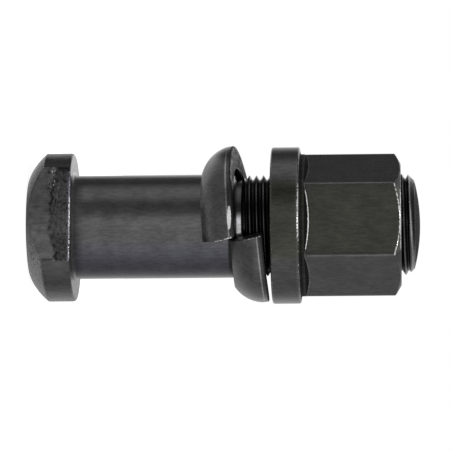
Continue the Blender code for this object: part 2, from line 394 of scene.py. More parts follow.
def smooth_step(value, low, high):
    """0 up to low, 1 from high on, and a smooth rise between them."""
    share = np.clip((value - low) / (high - low), 0, 1)
    return share * share * (3 - 2 * share)


def plateau(value, low, full, fading, gone):
    """0 up to low, 1 from full to fading, and 0 again from gone on."""
    return smooth_step(value, low, full) * (1 - smooth_step(value, fading, gone))


def bell(value, middle, width):
    """1 at the middle, and falling smoothly to 0 on both sides."""
    return np.exp(-((value - middle) / width) ** 2)


def rough(points, scale, seed):
    """Smooth noise from -1 to 1 at each point, with features of about scale."""
    flat = points.reshape(-1, 3) / scale + seed
    return np.array([noise.noise(Vector(point)) for point in flat]).reshape(points.shape[:-1])


def thread_radius(profile, height, angle):
    """The radius of a right-hand thread at each height and angle."""
    turns = (height - CREST_HEIGHT_AT_PI) / PITCH - (angle - pi) / TURN
    return look_up(np.abs(turns - np.round(turns)), profile)


def helical_heights(profile, angles, low, high):
    """Heights that follow a thread's lines, row by row, held between low and high, and the rows a pitch."""
    steps = [step for step, _ in profile] + [1 - step for step, _ in profile[-2:0:-1]]
    pitches = int((high - low) / PITCH) + 3
    rows = np.array([pitch + step for pitch in range(-1, pitches) for step in steps])
    crest = CREST_HEIGHT_AT_PI + PITCH * (angles[0] - pi) / TURN
    crest += PITCH * np.floor((low - crest) / PITCH)
    heights = crest + PITCH * (rows[:, None] + (angles - angles[0]) / TURN)
    return np.clip(heights, low, high), len(steps)


def stack(rings, name):
    """One named value of all the rings, as rows."""
    return np.array([ring[name] for ring in rings])


def head_angles(radius):
    """Angles round the head for a ring of this radius, with columns on both edges of its flat."""
    half = max(acos(min(1.0, FLAT_DISTANCE / max(radius, 0.001))), FLAT_LEAST_ANGLE)
    on_flat = BOLT_COLUMNS // 3
    inside = np.linspace(-half, half, on_flat + 1)
    outside = np.linspace(half, TURN - half, BOLT_COLUMNS - on_flat + 1)[1:-1]
    return FLAT_SIDE + np.concatenate([inside, outside])


def torn_noise(across, height, scale, seed):
    """Noise on the sheared flat, raised to reach from about -1 to 1."""
    places = np.stack([across, np.full_like(across, height), np.zeros_like(across)], -1)
    return 1.6 * rough(places, scale, seed)


def flat_relief(across, height):
    """The sheared flat's depth, by distance across it and height, and how far each place is in its torn band,
    past that band and on its rounded edge."""
    wave = 0.10 * np.sin(across * 1.7 + 0.6) + 0.35 * torn_noise(across, height, scale=0.9, seed=1.0)
    from_band = height - BAND_HEIGHT - BAND_RISE * (across / BAND_RISE_ACROSS) ** 2 - wave
    ragged = np.clip(0.75 + 0.9 * torn_noise(across, height, scale=1.3, seed=4.0), 0.2, 1.2)
    band = bell(from_band, 0.0, BAND_WIDTH) * ragged
    past = smooth_step(from_band, -0.1, 0.4)
    rise = np.clip((height - HEAD_HEIGHT) / FLAT_EDGE_HEIGHT + 1, 0, 1)
    edge = 1 - np.sqrt(1 - rise ** 2)
    return PAST_BAND_DEPTH * past + BAND_DEPTH * band + FLAT_EDGE_DEPTH * edge, band, past, rise


def flat_paint(across, height, band, past, rise):
    """What is painted on the sheared flat: grey, dark in its torn band and past it, a painted highlight at
    its edge.
    """
    patches = torn_noise(across, height, scale=1.6, seed=8.0)
    streaks = torn_noise(across * 0.25, height, scale=0.35, seed=12.0)
    # The torn band is dark: torn steel with painted shade in its groove. Past it the flat darkens upwards
    dark_band = np.clip(band, 0, 1)
    tone = look_up(across, BEFORE_BAND_TONES) * (1 + 0.25 * patches) * (1 - past)
    tone = tone + (look_up(across, PAST_BAND_TONES) + 0.02 * streaks) * past
    upper = smooth_step(-across, 8.6, 10.4) * past
    tone = tone * (1 - 0.85 * dark_band) * (1 - 0.7 * upper)
    # A painted highlight on the rounded edge
    tone = tone + 0.07 * smooth_step(rise, 0.1, 0.6) * smooth_step(across, -9.5, -6.5)
    # Painted shade: a dark line along the flat's lower end
    end_line = bell(across, 10.15, 0.2) * plateau(height, 1.2, 1.8, 5.8, 6.6)
    tone = tone * (1 - 0.85 * end_line)
    # Rough specks on the upper part of the flat, with painted glints on them
    specks = bell(height, 5.9, 1.1) * smooth_step(-across, 4.2, 6.0)
    # The rounded edge's painted highlight, tinted a little lilac
    lit_edge = (rise > 0.62) * (rise < 0.97) * (0.40 + 0.45 * smooth_step(across, -6, -1) + 0.2 * patches)
    lit_edge = lit_edge * look_up(across, LIT_EDGE_SHARES)
    return {
        "tone": tone,
        "roughness": 0.36 + 0.2 * band - 0.12 * rise,
        "relief": 0.45 + 0.35 * past + 1.2 * band + 0.8 * specks,
        "wear": np.maximum(0.40 * specks, lit_edge),
        "warm": -1.6 * smooth_step(rise, 0.05, 0.5),
        "matt": 0.3 * dark_band,
    }


def round_paint(radius, height, angles):
    """What is painted on the rest of the head: its side, its crown and both its faces."""
    towards_top = degrees_to_top(angles)
    near_flat = bell(wrapped(angles - FLAT_SIDE), 0.0, 1.0)
    crown = (height < HEAD_CROWN_HEIGHT) * smooth_step(HEAD_RADIUS - radius, 0.0, 0.6) * (height > 0.01)
    tone = HEAD_SIDE_TONE if height > 0.05 else HEAD_FACE_TONE
    # Painted light and shade on the side and crown, by side
    tone = tone * look_up(towards_top, HEAD_SIDE_SHARES) * (1 - crown)
    tone = tone + crown * look_up(towards_top, CROWN_TONES)
    if height > HEAD_HEIGHT - 0.01:
        # Painted light: the bearing face is lighter at the bottom
        tone = BEARING_FACE_TONE + 0.06 * plateau(towards_top, -150, -120, -60, -30)
    return {
        "tone": tone,
        "roughness": HEAD_ROUGHNESS,
        "relief": 0.25 + crown * near_flat,
        "wear": 0.0,
        "warm": 0.0,
        "matt": 0.5 * crown * near_flat,
    }


def head_ring(radius, height):
    """One ring of the head, cut by its flat: its points, how lumpy it is, and what is painted there."""
    angles = head_angles(radius)
    from_flat = wrapped(angles - FLAT_SIDE)
    faces_flat = np.abs(from_flat) < FLAT_WIDEST_ANGLE
    from_flat = np.where(faces_flat, from_flat, 0.0)
    slant = np.cos(from_flat)
    across = FLAT_DISTANCE * np.tan(from_flat)
    depth, band, past, rise = flat_relief(across, height)
    # Below the rounded edge the relief fades where the crown cuts the flat
    fade = smooth_step(radius, *FLAT_RELIEF_RADII)
    depth = depth * np.where(height > HEAD_HEIGHT - FLAT_EDGE_HEIGHT, 1.0, fade)
    on_flat = faces_flat & (FLAT_DISTANCE / slant <= radius + 1e-9)
    reach = np.where(faces_flat, np.minimum(radius, (FLAT_DISTANCE - depth) / slant), radius)
    on_side = (radius > sum(FLAT_RELIEF_RADII) / 2) & (height < HEAD_HEIGHT - 0.05)
    flat = flat_paint(across, height, band, past, rise)
    rest = round_paint(radius, height, angles)
    ring = {mask: np.where(on_flat, flat[mask], rest[mask]) for mask in MASKS}
    ring["relief"] = ring["relief"] * (1.0 if on_side else 0.5)
    ring["lumpy"] = np.where(on_flat, 0.0, 1.0) * on_side * smooth_step(height, 0.0, 0.8)
    ring["points"] = polar(reach, angles, height)
    return ring


def add_head(shell, fillet_foot):
    """The head, from the shank's fillet out and down to the middle of its end face."""
    rim_top = (HEAD_RADIUS - HEAD_RIM_ROUNDING, HEAD_HEIGHT)
    rim_side = (HEAD_RADIUS, HEAD_HEIGHT - HEAD_RIM_ROUNDING)
    crown_top = (HEAD_RADIUS, HEAD_CROWN_HEIGHT)
    face_edge = (HEAD_FACE_RADIUS, 0.0)
    profile = [
        fillet_foot,
        *line(fillet_foot, rim_top, 8),
        *arc(rim_top, rim_side, HEAD_RIM_ROUNDING, 6),
        *line(rim_side, crown_top, 24),
        *arc(crown_top, face_edge, HEAD_CROWN_RADIUS, 24),
        *line(face_edge, (0.0, 0.0), 6),
    ]
    rings = [head_ring(radius, height) for radius, height in profile]
    points = stack(rings, "points")
    # Forging leaves the head's own surface a little uneven, inward only
    lumps = 0.7 * rough(points, scale=4.0, seed=3.0) + 0.3 * rough(points, scale=1.3, seed=9.0)
    lumps = 0.5 + 0.5 * lumps
    outward = points * np.array([1.0, 1.0, 0.0])
    outward /= np.maximum(np.linalg.norm(outward, axis=-1), 1e-6)[..., None]
    points -= outward * (HEAD_LUMP_DEPTH * lumps * stack(rings, "lumpy"))[..., None]
    head = shell.add(points, **{mask: stack(rings, mask) for mask in MASKS})
    shell.skin(head)
    return head


def add_shank(shell, angles, fillet_foot, neck_tone):
    """Neck and shank, from the thread's start down to the head."""
    neck_corner = (NECK_RADIUS, SHANK_TOP + NECK_FILLET)
    neck_foot = (NECK_RADIUS + NECK_FILLET, SHANK_TOP)
    fillet_top = (SHANK_RADIUS, HEAD_HEIGHT + SHANK_FILLET)
    end_inner = (SHANK_RADIUS - SHANK_END_CHAMFER, SHANK_TOP)
    end_outer = (SHANK_RADIUS, SHANK_TOP - SHANK_END_CHAMFER)
    paint_end = (end_outer[0], end_outer[1] - 0.9)
    profile = [
        (NECK_RADIUS, THREAD_START),
        *line((NECK_RADIUS, THREAD_START), neck_corner, 3),
        *arc(neck_corner, neck_foot, -NECK_FILLET, 6),
        (end_inner[0] - 0.05, end_inner[1]),
        (end_inner[0] + 0.04, end_inner[1] - 0.04),
        (end_outer[0] - 0.04, end_outer[1] + 0.04),
        (end_outer[0], end_outer[1] - 0.08),
        (end_outer[0], end_outer[1] - 0.6),
        paint_end,
        *line(paint_end, fillet_top, 16),
        *arc(fillet_top, fillet_foot, -SHANK_FILLET, 6),
    ]
    heights = np.array([height for _, height in profile])[:, None]
    towards_top = degrees_to_top(angles)
    on_shank = (heights < SHANK_TOP - 1.2) & (heights > HEAD_HEIGHT + 0.5)
    on_neck = heights > SHANK_TOP + NECK_FILLET + 0.2
    # The shank's end, its chamfer and the neck's fillet are dark with painted shade between washer and neck
    tone = np.where(on_neck, neck_tone, SHANK_END_SHADE_TONE)
    # Painted light, shade and a bluish painted reflection on the shank, by side
    tone = np.where(on_shank, look_up(towards_top, SHANK_TONES), tone)
    tone = np.where(heights < HEAD_HEIGHT + 0.5, FILLET_TONE, tone)
    # The fillet under the head is matt and painted dark at the front, as painted shade
    on_fillet = heights < HEAD_HEIGHT + SHANK_FILLET + 0.05
    dark_fillet = on_fillet * (1 - smooth_step(np.abs(towards_top), 50, 66))
    body = shell.add(
        np.array([polar(radius, angles, height) for radius, height in profile]),
        tone=tone + (FILLET_SHADE_TONE - tone) * dark_fillet,
        roughness=np.where(on_neck, NECK_ROUGHNESS, SHANK_ROUGHNESS),
        warm=-look_up(towards_top, SHANK_BLUES) * on_shank - 0.2 * on_neck,
        matt=0.95 * dark_fillet,
    )
    shell.skin(body)
    return body


def add_bolt_thread(shell, angles, end_radius, end_height, neck_tone):
    """The bolt's thread, on rows that follow its helix, cut by a chamfer at each end."""
    heights, pitch_rows = helical_heights(BOLT_THREAD, angles, THREAD_START, end_height)
    into_chamfer = end_radius + end_height - heights
    radius = thread_radius(BOLT_THREAD, heights, angles)
    radius = np.minimum(radius, NECK_RADIUS + heights - THREAD_START)
    radius = np.minimum(radius, into_chamfer)
    crest = smooth_step(radius, THREAD_RADIUS - 0.15, THREAD_RADIUS - 0.03)
    # The chamfer at the end has a painted highlight along each thread that it cuts
    towards_top = degrees_to_top(angles)
    on_chamfer = (radius > into_chamfer - 0.02) & (heights > end_height - END_CHAMFER - 0.1)
    climb = np.clip(RIDGE_CLIMB * (RIDGE_SIDE - towards_top), 0, RIDGE_MOST_CLIMB)
    ridge = bell(heights, end_height - RIDGE_BELOW + climb, RIDGE_WIDTH)
    ridge = ridge * (1 - 0.6 * smooth_step(-towards_top, 0, 40))
    ridge = ridge + 0.13 * smooth_step(-towards_top, 20, 42)
    # The neck's painted highlight runs on into the thread's start
    run_out = 1 - smooth_step(heights, THREAD_START + 0.1, THREAD_START + 0.4)
    # Crests are lighter than grooves: worn steel and painted highlight
    tone = GROOVE_TONE + (CREST_TONE - GROOVE_TONE) * crest
    tone = tone + (0.32 * ridge - 0.005) * on_chamfer + (neck_tone - GROOVE_TONE) * run_out
    thread = shell.add(
        polar(radius, angles, heights), tone=tone, roughness=THREAD_ROUGHNESS, relief=0.5 * on_chamfer,
    )
    shell.skin(thread, shift=pitch_rows)


def make_bolt(material):
    """The bolt: head, shank, neck, thread and domed end, in one closed mesh."""
    shell = Shell()
    fillet_foot = (SHANK_RADIUS + SHANK_FILLET, HEAD_HEIGHT)
    angles = head_angles(fillet_foot[0])[::2]
    # The neck has a painted highlight at the front
    neck_tone = NECK_TONE + NECK_HIGHLIGHT * plateau(degrees_to_top(angles), -22, -8, 5, 20)
    head = add_head(shell, fillet_foot)
    body = add_shank(shell, angles, fillet_foot, neck_tone)
    shell.halve(head[0], body[-1])
    end_edge = (THREAD_RADIUS - END_CHAMFER, BOLT_TOP - END_CROWN_HEIGHT)
    add_bolt_thread(shell, angles, *end_edge, neck_tone)
    dome_radius = (end_edge[0] ** 2 + END_CROWN_HEIGHT ** 2) / (2 * END_CROWN_HEIGHT)
    profile = [end_edge, *arc(end_edge, (0.0, BOLT_TOP), -dome_radius, 12)]
    dome = np.array([polar(radius, angles, height) for radius, height in profile])
    shell.skin(shell.add(dome, tone=0.012, roughness=0.4, relief=0.9, matt=0.85))
    bolt = shell.build("bolt_body", SHARP_ANGLE, material)
    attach(bolt, "bolt")
    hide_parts("wheel_bolt")
    return bolt


def nut_columns():
    """Angles round the nut, and its hexagon's radius at each, with rounded corners."""
    half_sector = radians(30)
    flat_end = (NUT_FLAT - NUT_CORNER) * tan(half_sector)
    steps = np.linspace(-flat_end, flat_end, NUT_FLAT_COLUMNS)
    sector = list(np.arctan2(steps, NUT_FLAT))
    radii = list(np.hypot(steps, NUT_FLAT))
    corner_centre = (NUT_FLAT - NUT_CORNER) / cos(half_sector)
    for turned in (radians(-15), 0.0, radians(15)):
        along = corner_centre + NUT_CORNER * cos(turned)
        aside = NUT_CORNER * sin(turned)
        sector.append(half_sector + atan2(aside, along))
        radii.append(hypot(along, aside))
    angles = [NUT_SIDE + np.array(sector) + 2 * half_sector * number for number in range(6)]
    return np.concatenate(angles), np.tile(radii, 6)


def nut_rows(angles, hexagon):
    """The nut's outer rings, from the mouth at its end over the flats and the collar to its face."""
    from_front = np.degrees(np.abs(wrapped(angles - NUT_SIDE)))
    front = 1 - smooth_step(from_front, 27, 31)
    towards_top = degrees_to_top(angles)
    flat_number = np.round((angles - NUT_SIDE) / radians(60)).astype(int) % 6
    edge_wear_and_glint = np.choose(flat_number, NUT_EDGE_WEAR_AND_GLINT)
    rows = []

    def row(radius, height, tone=NUT_TONE, wear=0.0, relief=0.0, matt=0.0):
        """Add a ring; the front flat has a little olive painted reflection all over."""
        painted = {"tone": tone, "wear": wear, "relief": relief, "matt": matt, "warm": front}
        painted["roughness"] = NUT_ROUGHNESS
        rows.append({mask: np.broadcast_to(value, angles.shape) for mask, value in painted.items()})
        rows[-1]["points"] = polar(radius, angles, height + NUT_FACE)

    def ragged(seed):
        """Uneven widths round the nut, from 0 to 1, for worn edges."""
        ring = polar(10.0, angles, 0.0)
        uneven = 0.6 * rough(ring, scale=1.1, seed=seed) + 0.4 * rough(ring, scale=0.45, seed=seed + 5)
        return 0.5 + 0.5 * uneven

    # End face and its chamfer, whose cut into each flat is ragged; its edges and the front chamfer carry
    # painted highlights
    row(NUT_MOUTH, NUT_HEIGHT)
    row(NUT_FACE_RADIUS - 0.12, NUT_HEIGHT)
    row(NUT_FACE_RADIUS, NUT_HEIGHT - 0.02, wear=0.6)
    cut = 0.08 + 0.22 * ragged(11)
    for share in (0.15, 0.3, 0.6, 1.0):
        from_edge = np.maximum((hexagon - cut - NUT_FACE_RADIUS) * share, 0.0)
        lit = front * (1 - smooth_step(from_edge, 0.2, 0.5))
        row(
            NUT_FACE_RADIUS + from_edge, NUT_HEIGHT - from_edge * NUT_CHAMFER_SLOPE,
            tone=0.022 + 0.03 * front, wear=lit, matt=0.3 * (1 - lit),
        )
    chamfer_foot = NUT_HEIGHT - (hexagon - NUT_FACE_RADIUS) * NUT_CHAMFER_SLOPE
    chamfer_wear_and_glint = edge_wear_and_glint * (1 - 0.25 * front * smooth_step(from_front, 8, 20))
    row(hexagon - 0.03, chamfer_foot - 0.03, tone=NUT_EDGE_TONE, wear=chamfer_wear_and_glint)
    row(hexagon, chamfer_foot - cut, wear=0.5 * edge_wear_and_glint)
    # Flats, with a painted highlight on each corner and painted shade beside it on the front flat, which is
    # painted a little darker
    cone_top = STEP_TOP + np.maximum(STEP_RADIUS - hexagon, 0.0) * STEP_CONE_SLOPE
    high = chamfer_foot - cut - 0.2
    low = cone_top + 0.2 + 0.14 * ragged(21)
    corner = bell(hexagon, hexagon.max(), 0.12) * (from_front > 29.2)
    corner = corner - 0.45 * bell(from_front, 28.6, 1.2) * (from_front < 29.2)
    for step in range(12):
        row(hexagon, high + (low + 0.4 - high) * step / 11, tone=NUT_TONE - 0.0125 * front + 0.03 * corner)
    # Foot of the flats, worn and with a painted highlight, and the cone, step and fillet under it darkened
    # with painted shade
    foot_wear_and_glint = edge_wear_and_glint * (1 - 0.85 * plateau(from_front, 22, 28, 31, 33))
    row(hexagon, low, tone=0.048 - 0.02 * front, wear=0.2 * front, relief=0.5 * front)
    row(hexagon, cone_top + 0.08 + 0.08 * ragged(41), tone=0.08, wear=foot_wear_and_glint)
    row(hexagon, cone_top + 0.02, tone=0.10, wear=foot_wear_and_glint)
    for share, wear in ((0.15, 0.3 * front), (0.5, 0.0), (0.85, 0.0)):
        radius = hexagon + np.maximum(STEP_RADIUS - hexagon, 0.0) * share
        row(radius, cone_top + (STEP_TOP - cone_top) * share, tone=0.006, wear=wear, matt=0.92)
    row(STEP_RADIUS - 0.05, STEP_TOP, tone=0.016, relief=0.6, matt=0.9)
    row(STEP_RADIUS, STEP_TOP - 0.08, tone=0.022, relief=0.6, matt=0.9)
    fillet_top = (STEP_RADIUS, COLLAR_HEIGHT + STEP_FILLET)
    fillet_foot = (STEP_RADIUS + STEP_FILLET, COLLAR_HEIGHT)
    for radius, height in (fillet_top, *arc(fillet_top, fillet_foot, -STEP_FILLET, 5)):
        row(radius, height, tone=0.010, relief=0.6, matt=0.9)
    # Collar, worn along its upper edge and carrying a painted highlight there, strongest near the front, and
    # with painted light and shade round its side
    top_edge = (COLLAR_RADIUS - COLLAR_ROUNDING, COLLAR_HEIGHT)
    top_side = (COLLAR_RADIUS, COLLAR_HEIGHT - COLLAR_ROUNDING)
    low_side = (COLLAR_RADIUS, COLLAR_ROUNDING)
    low_edge = (COLLAR_RADIUS - COLLAR_ROUNDING, 0.0)
    collar_tone = NUT_TONE * look_up(towards_top, COLLAR_SHARES)
    collar_glint = 0.45 + 0.7 * plateau(towards_top, -16, -1, 22, 34)
    row(*top_edge, tone=NUT_EDGE_TONE, wear=0.5)
    for radius, height in arc(top_edge, top_side, COLLAR_ROUNDING, 5):
        wear = (1.0 - 0.7 * (COLLAR_HEIGHT - height) / COLLAR_ROUNDING) * collar_glint
        row(radius, height, tone=NUT_EDGE_TONE, wear=wear)
    row(COLLAR_RADIUS, top_side[1] - 0.1 - 0.3 * ragged(31), tone=collar_tone)
    row(*low_side, tone=collar_tone)
    for radius, height in arc(low_side, low_edge, COLLAR_ROUNDING, 5):
        row(radius, height, tone=NUT_EDGE_TONE, wear=0.3)
    row(NUT_MOUTH, 0.0)
    return rows


def make_nut(material):
    """The collar nut: its outer surface, and its inner thread in step with the bolt's."""
    shell = Shell()
    angles, hexagon = nut_columns()
    rows = nut_rows(angles, hexagon)
    outer = shell.add(stack(rows, "points"), **{mask: stack(rows, mask) for mask in MASKS})
    shell.skin(outer)
    # The thread is widened at both mouths
    inside = {"tone": NUT_THREAD_TONE, "roughness": NUT_ROUGHNESS}
    coarse = angles[::2]
    top = NUT_FACE + NUT_HEIGHT
    heights, pitch_rows = helical_heights(NUT_THREAD, coarse, NUT_FACE, top)
    radius = thread_radius(NUT_THREAD, heights, coarse)
    radius = np.maximum(radius, NUT_MOUTH - (heights - NUT_FACE))
    radius = np.maximum(radius, NUT_MOUTH - (top - heights))
    shell.skin(shell.add(polar(radius, coarse, heights), **inside), shift=pitch_rows)
    for outer_ring, height in ((outer[0], top), (outer[-1], NUT_FACE)):
        mouth = shell.add(polar(NUT_MOUTH, coarse, height)[None], **inside)
        shell.halve(outer_ring, mouth[0])
    nut = shell.build("nut_body", SHARP_ANGLE, material)
    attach(nut, "nut")
    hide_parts("collar_nut")
    return nut


def washer_profile():
    """The washer's section in pairs of radius and height: back, rim, domed seat, foot and bore."""
    half = WASHER_THICKNESS / 2
    inner = WASHER_BORE + WASHER_BORE_ROUNDING
    bore_high = half - WASHER_BORE_ROUNDING
    bore_low = WASHER_BORE_ROUNDING - half
    rim_top = (WASHER_RADIUS - WASHER_RIM_ROUNDING, half)
    rim_side = (WASHER_RADIUS, half - WASHER_RIM_ROUNDING)
    seat_edge = (WASHER_RADIUS, half - WASHER_RIM_HEIGHT)
    seat_foot = (WASHER_RADIUS - WASHER_SEAT_WIDTH, -half)
    return np.array([
        (inner, half),
        *line((inner, half), rim_top, 12),
        *arc(rim_top, rim_side, WASHER_RIM_ROUNDING, 5),
        *line(rim_side, (seat_edge[0], seat_edge[1] + 0.06), 6),
        (seat_edge[0] - 0.02, seat_edge[1] - 0.07),
        *arc(seat_edge, seat_foot, WASHER_SEAT_RADIUS, 36)[1:],
        (inner, -half),
        *arc((inner, -half), (WASHER_BORE, bore_low), WASHER_BORE_ROUNDING, 3),
        *line((WASHER_BORE, bore_low), (WASHER_BORE, bore_high), 4),
        *arc((WASHER_BORE, bore_high), (inner, half), WASHER_BORE_ROUNDING, 3)[:-1],
    ])


def washer_points(profile):
    """The section swept round the split ring, which leans on the shank: one row of points a section."""
    middle = profile.mean(axis=0)
    turn = TURN - WASHER_SPLIT_WIDTH / WASHER_RADIUS
    rounding = WASHER_END_ROUNDING / WASHER_RADIUS / turn
    steps = np.linspace(0, 1, WASHER_RINGS)
    steps = np.concatenate([[0.0, rounding], steps[1:-1], [1 - rounding, 1.0]])
    rings = []
    for step in steps:
        inset = WASHER_END_INSET if step in (0.0, 1.0) else 0.0
        section = middle + (profile - middle) * (1 - inset)
        slant = section[:, 1] * tan(WASHER_SPLIT_SLANT) / WASHER_RADIUS
        angle = WASHER_SPLIT_SIDE - slant + turn * step
        lift = WASHER_END_OFFSET / 2 + slant * WASHER_END_OFFSET / turn - WASHER_END_OFFSET * step
        rings.append(polar(section[:, 0], angle, section[:, 1] + lift))
    lean = Matrix.Rotation(WASHER_LEAN, 3, (-sin(WASHER_LEAN_SIDE), cos(WASHER_LEAN_SIDE), 0))
    points = np.array(rings) @ np.array(lean).T
    # Its highest point is as high as the solid's
    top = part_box("spherical_spring_washer")[1][2] / MM
    points[..., 2] += top - points[..., 2].max()
    return points


def washer_paint(profile, points):
    """What is painted on the washer, by place on its section and by side."""
    half = WASHER_THICKNESS / 2
    radii, heights = profile.T
    towards_top = np.degrees(np.arctan2(-points[..., 0], -points[..., 1]))
    line_height = half - WASHER_RIM_HEIGHT + SEAT_LINE_ABOVE
    on_rim = radii > WASHER_RADIUS - 0.05
    on_dome = (radii > WASHER_RADIUS - WASHER_SEAT_WIDTH) & (heights < line_height - 0.1)
    rounding = WASHER_RIM_ROUNDING - 0.02
    back_edge = (heights > half - rounding) & (radii > WASHER_RADIUS - rounding)
    inside = radii < WASHER_BORE + WASHER_BORE_ROUNDING - 0.01
    back = (heights > half - 0.01) & ~inside & (radii < WASHER_RADIUS - 0.2)
    seat_line = (radii > WASHER_RADIUS - 0.3) & (np.abs(heights - line_height) < 0.13)
    land = on_rim & (heights > line_height + 0.1)
    # The back edge is darkened with painted shade, and the seat line is a painted highlight
    tone = np.select([back_edge, seat_line, land, inside], [0.015, 0.16, 0.036, 0.03], default=0.056)
    # The back is streaked, and darkened with painted shade where it faces the collar at the front
    streaks = np.clip(0.5 + 1.5 * rough(points * np.array([1.0, 1.0, 0.0]), scale=1.1, seed=71.0), 0, 1)
    dark_side = (towards_top > -70) * (1 - smooth_step(towards_top, 32, 41))
    back_tone = (0.05 + 0.17 * streaks) * (1 - 0.9 * dark_side)
    # The foot is matt, and at the upper end the dome is painted lighter, with painted shade darkening it
    # towards the foot
    foot = smooth_step(-heights, 0.2, half - 0.8) * ~inside
    foot = foot * (0.3 + 0.7 * smooth_step(towards_top, -14, -4))
    upper_end = (towards_top > -14) * (1 - smooth_step(towards_top, 14, 24)) * on_dome
    share = 1 + upper_end * (0.2 - 0.7 * smooth_step(-heights, half - 1.7, half - 0.7))
    # The rim has a painted highlight
    from_glint = (towards_top - GLINT_SIDE) / GLINT_HALF_WIDTH
    glint_height = GLINT_HALF_HEIGHT * np.sqrt(np.clip(1 - from_glint ** 2, 0, 1))
    from_middle = np.abs(heights - half + GLINT_BELOW_BACK - GLINT_SLANT * from_glint)
    glint = (1 - smooth_step(from_middle, glint_height, glint_height + 0.25)) * on_rim
    glint = glint * (np.abs(from_glint) < 1)
    # The upper end's edges at the split carry a painted highlight, the lower end's a weaker one
    ends = np.zeros((len(points), 1))
    ends[[0, 1, -2, -1], 0] = 0.65, 0.45, 0.6, 0.85
    ends = ends * (on_rim | on_dome) * (heights < half - 0.2)
    ends = ends * (0.55 + 0.45 * smooth_step(heights, -2.0, 0.5))
    return {
        "tone": np.where(back, back_tone, (tone + 0.02 * foot) * share),
        "roughness": np.where(back, 0.45, 0.25),
        "relief": np.where(back, 0.8, 0.0),
        "wear": np.maximum(np.maximum(0.3 * seat_line, 1.2 * glint), ends),
        "matt": 0.8 * back + 0.85 * back_edge + 0.6 * foot,
    }


def make_washer(material):
    """The split washer, with two plain cut faces inside their rims."""
    shell = Shell()
    profile = washer_profile()
    points = washer_points(profile)
    ring = shell.add(points, **washer_paint(profile, points))
    shell.skin(ring)
    for number in (0, -1):
        rim = points[number]
        inner_rim = rim + (rim.mean(axis=0) - rim) * 0.06
        cut_face = shell.add(inner_rim[None], tone=0.045, roughness=0.3, relief=0.4)[0]
        shell.skin(np.stack([ring[number], cut_face]))
        shell.faces.append(cut_face.tolist())
    washer = shell.build("washer_body", WASHER_SHARP_ANGLE, material)
    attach(washer, "washer")
    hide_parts("spherical_spring_washer")
    return washer


def add_node(tree, kind, output, inputs=None, **options):
    """A new node's output, with these options, and with its sockets linked or set to these inputs."""
    node = tree.nodes.new(kind)
    for name, value in options.items():
        setattr(node, name, value)
    for key, value in (inputs or {}).items():
        socket = node.inputs[key]
        if isinstance(value, bpy.types.NodeSocket):
            tree.links.new(value, socket)
        else:
            socket.default_value = value
    return node.outputs[output]


def add_step(tree, value, low, high, bottom=0.0, top=1.0):
    """A smooth change from bottom to top, where the value goes from low to high."""
    sockets = {0: value, 1: low, 2: high, 3: bottom, 4: top}
    return add_node(tree, "ShaderNodeMapRange", 0, sockets, interpolation_type="SMOOTHSTEP")


class Paint:
    """A steel surface whose colour, roughness and bump come from nodes, measured in millimetres."""

    def __init__(self, name):
        self.material = bpy.data.materials.new(name)
        self.material.use_nodes = True
        self.tree = self.material.node_tree
        self.surface = self.tree.nodes["Principled BSDF"]
        self.surface.inputs["Specular IOR Level"].default_value = SPECULAR_LEVEL
        metres = self.node("ShaderNodeTexCoord", "Object")
        self.place = self.vector("SCALE", {0: metres, "Scale": 1 / MM})

    def node(self, kind, output, inputs=None, **options):
        return add_node(self.tree, kind, output, inputs, **options)

    def vector(self, operation, inputs):
        return self.node("ShaderNodeVectorMath", "Vector", inputs, operation=operation)

    def step(self, value, low, high, bottom=0.0, top=1.0):
        return add_step(self.tree, value, low, high, bottom, top)

    def mask(self, name):
        """A value painted on the mesh."""
        return self.node("ShaderNodeAttribute", "Fac", attribute_name=name)

    def times(self, first, second):
        return self.node("ShaderNodeMath", 0, {0: first, 1: second}, operation="MULTIPLY")

    def plus(self, first, second):
        return self.node("ShaderNodeMath", 0, {0: first, 1: second}, operation="ADD")

    def noise(self, size, seed, detail=3.0, stretch=(1, 1, 1), roughness=0.55):
        """Noise from 0 to 1 with features of this size, drawn out along an axis where stretch is small."""
        stretched = self.vector("MULTIPLY", {0: self.place, 1: stretch})
        moved = self.vector("ADD", {0: stretched, 1: (seed, seed, seed)})
        inputs = {"Vector": moved, "Scale": 1 / size, "Detail": detail, "Roughness": roughness}
        return self.node("ShaderNodeTexNoise", 0, inputs)

    def blend(self, factor, first, second):
        """The first colour where factor is 0, and the second where it is 1."""
        inputs = {FACTOR: factor, COLOUR_A: first, COLOUR_B: second}
        return self.node("ShaderNodeMix", COLOUR_RESULT, inputs, data_type="RGBA")

    def mix(self, factor, first, second):
        """The first number where factor is 0, and the second where it is 1."""
        inputs = {FACTOR: factor, NUMBER_A: first, NUMBER_B: second}
        return self.node("ShaderNodeMix", NUMBER_RESULT, inputs, data_type="FLOAT")

    def bump(self, height, depth, normal=None):
        """Relief of this depth in millimetres, on top of another."""
        inputs = {"Height": height, "Distance": depth * MM, "Strength": 1.0}
        if normal is not None:
            inputs["Normal"] = normal
        return self.node("ShaderNodeBump", 0, inputs)

    def finish(self, sockets):
        """The material, with these linked to the surface's sockets of that name."""
        for name, socket in sockets.items():
            self.tree.links.new(socket, self.surface.inputs[name])
        return self.material


